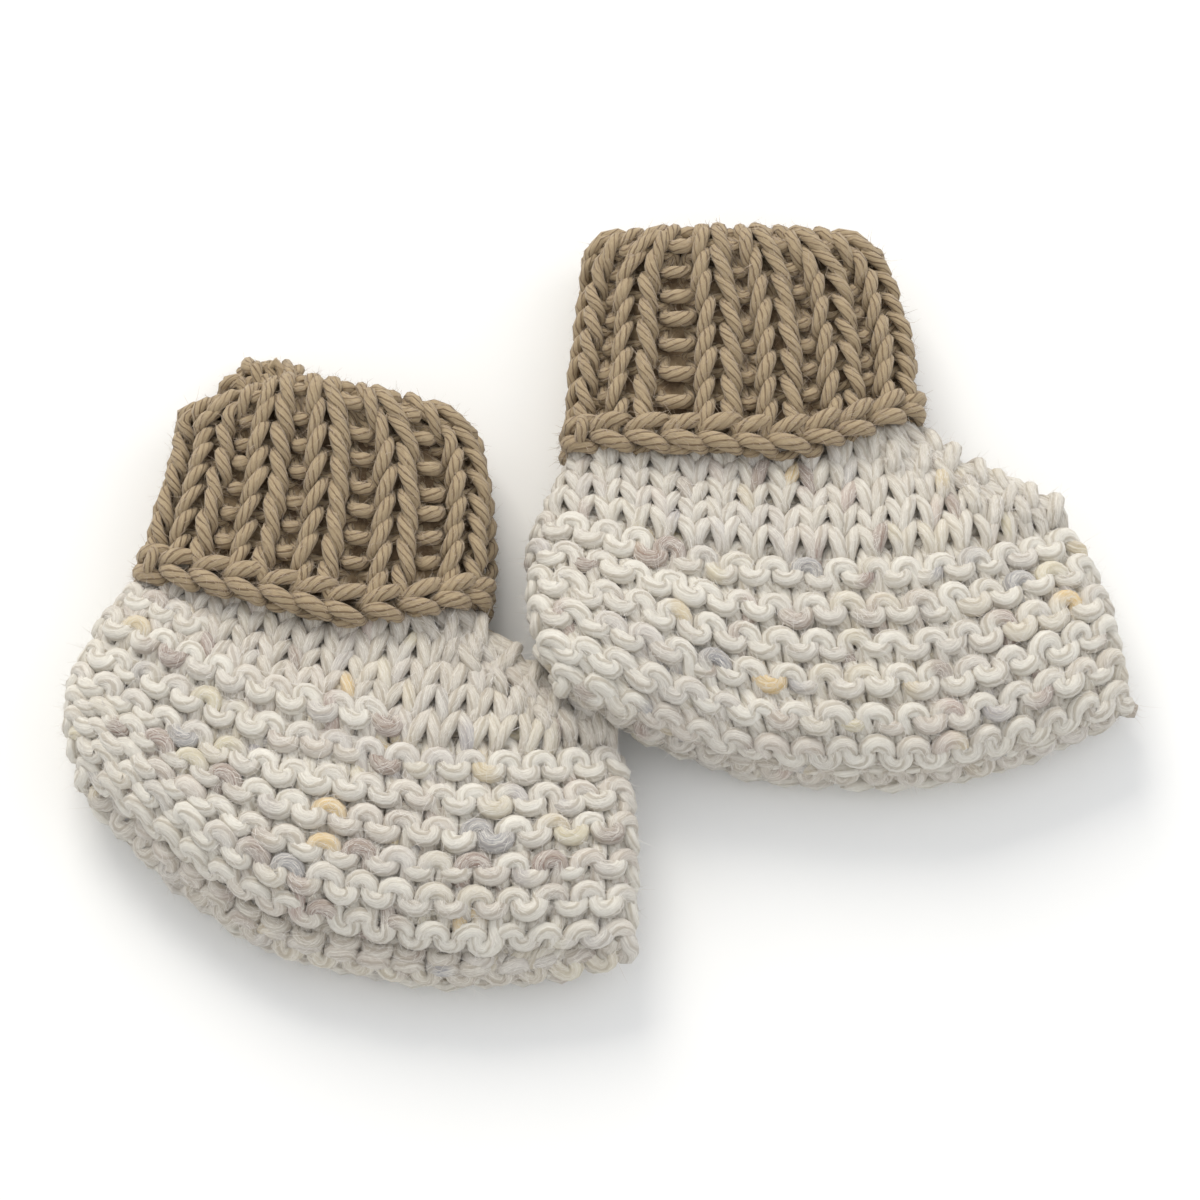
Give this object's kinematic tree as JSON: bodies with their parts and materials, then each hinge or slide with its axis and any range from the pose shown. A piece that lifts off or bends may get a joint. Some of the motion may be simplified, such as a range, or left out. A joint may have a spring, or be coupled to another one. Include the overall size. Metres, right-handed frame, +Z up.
{
  "type": "pair of knit booties",
  "caption": "Hand-knit baby booties lying flat on their sides: garter-stitch feet, plain-stitch insteps and turned-down ribbed cuffs with a chain edge.",
  "frame": {"origin": "centre of the pair's footprint, on the surface that the booties lie on", "axes": "+Z up from the surface, +X from heels towards toes, +Y from soles towards cuffs"},
  "size_m": [0.1784, 0.133, 0.0242],
  "materials": {
    "cream_yarn": "soft matte plied yarn, cream with mustard, mauve and grey flecks",
    "tan_yarn": "matte four-ply cotton yarn, tan"
  },
  "bodies": {
    "root": {"left_foot": "cream_yarn", "left_instep": "cream_yarn", "left_cuff": "tan_yarn", "left_cuff_edge": "tan_yarn", "right_foot": "cream_yarn", "right_instep": "cream_yarn", "right_cuff": "tan_yarn", "right_cuff_edge": "tan_yarn"}
  },
  "joints": []
}
